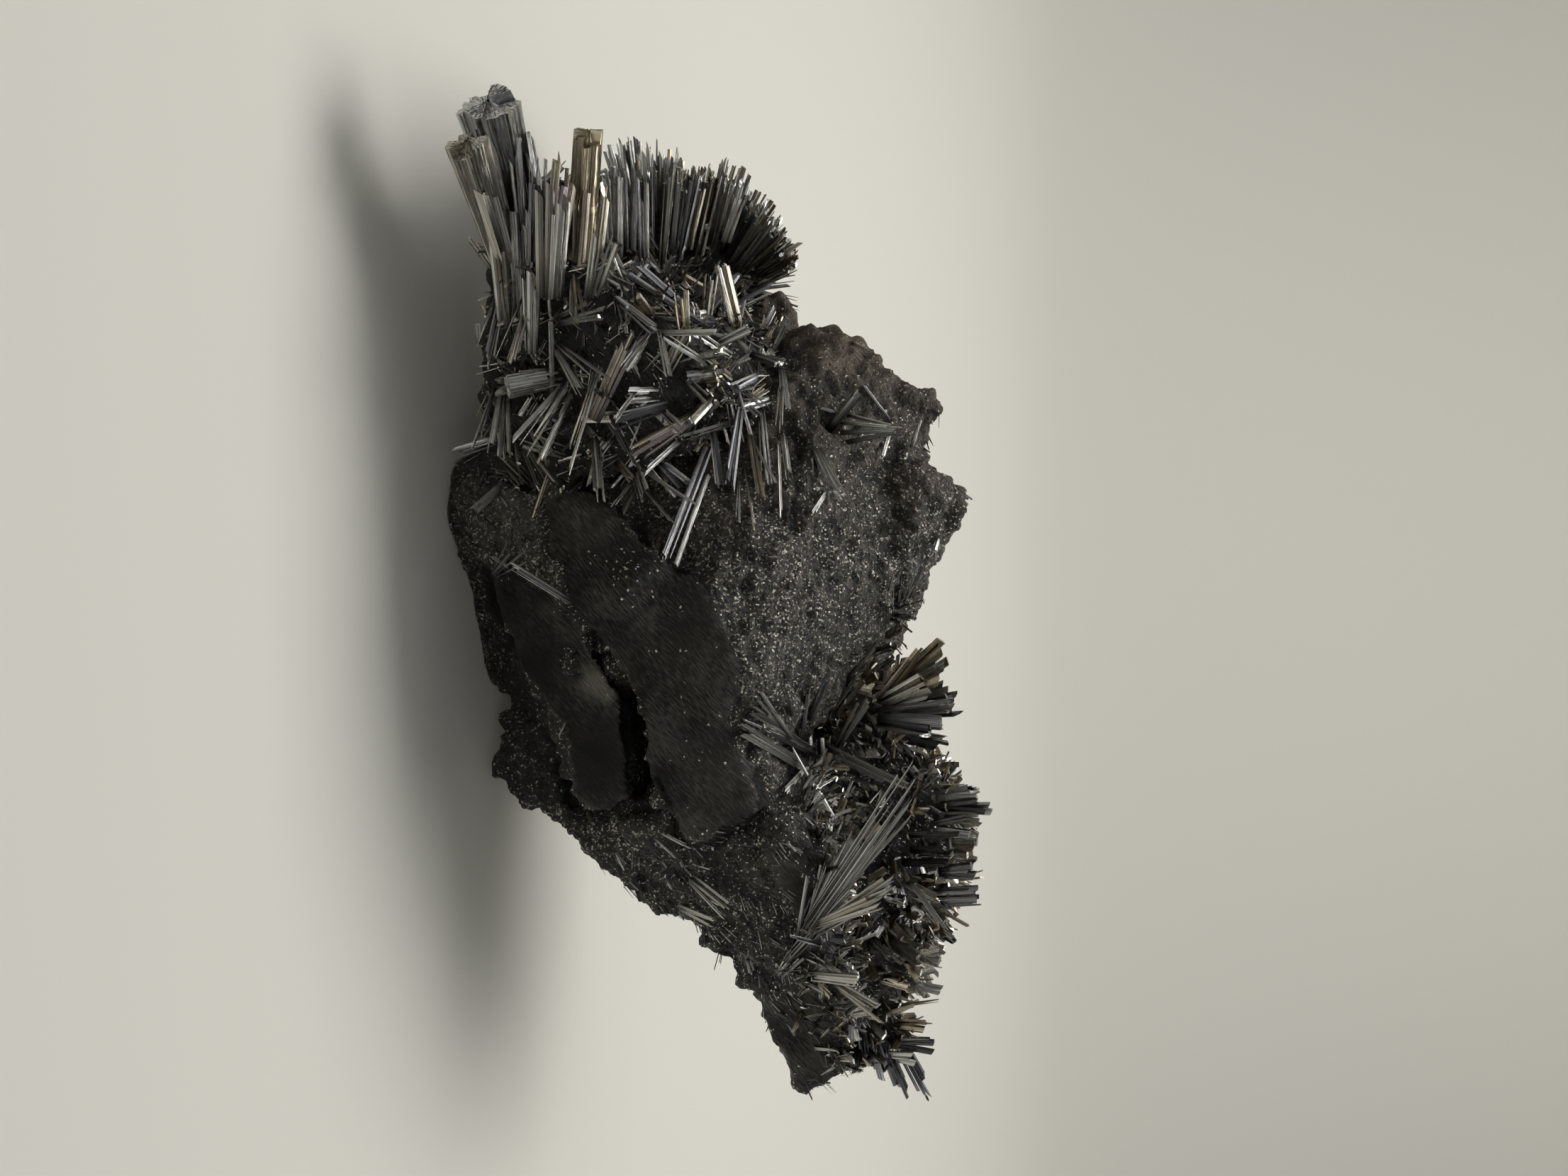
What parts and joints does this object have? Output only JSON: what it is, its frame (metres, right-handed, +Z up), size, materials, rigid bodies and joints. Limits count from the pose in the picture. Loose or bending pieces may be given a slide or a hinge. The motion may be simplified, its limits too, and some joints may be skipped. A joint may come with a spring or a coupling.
{
  "type": "crystal cluster specimen",
  "caption": "Dark sulphide rock specimen with metallic steel-grey and bronze crystals in fans, sheaves and stout prisms, resting on its own flat underside.",
  "frame": {"origin": "on the floor, under the middle of the specimen's bounding box", "axes": "+X to the right as the front is seen, along the longest side; +Y to the back; +Z up"},
  "size_m": [0.1166, 0.07, 0.0612],
  "materials": {
    "rock": "dark grey rock with a fine glittering druse and two satin crusts",
    "zinkenite": "metallic steel grey, striated along the crystals",
    "tarnished_zinkenite": "metallic grey with a bronze and faint purple tarnish, striated lengthwise"
  },
  "bodies": {
    "root": {"matrix_rock": "rock", "left_thicket": "zinkenite", "right_thicket": "zinkenite", "middle_spray": "zinkenite", "ridge_row": "zinkenite", "rosette_upper": "zinkenite", "rosette_lower": "zinkenite", "prism_rear": "tarnished_zinkenite", "prism_front": "tarnished_zinkenite", "prism_upper": "tarnished_zinkenite", "prism_stub": "tarnished_zinkenite"}
  },
  "joints": []
}
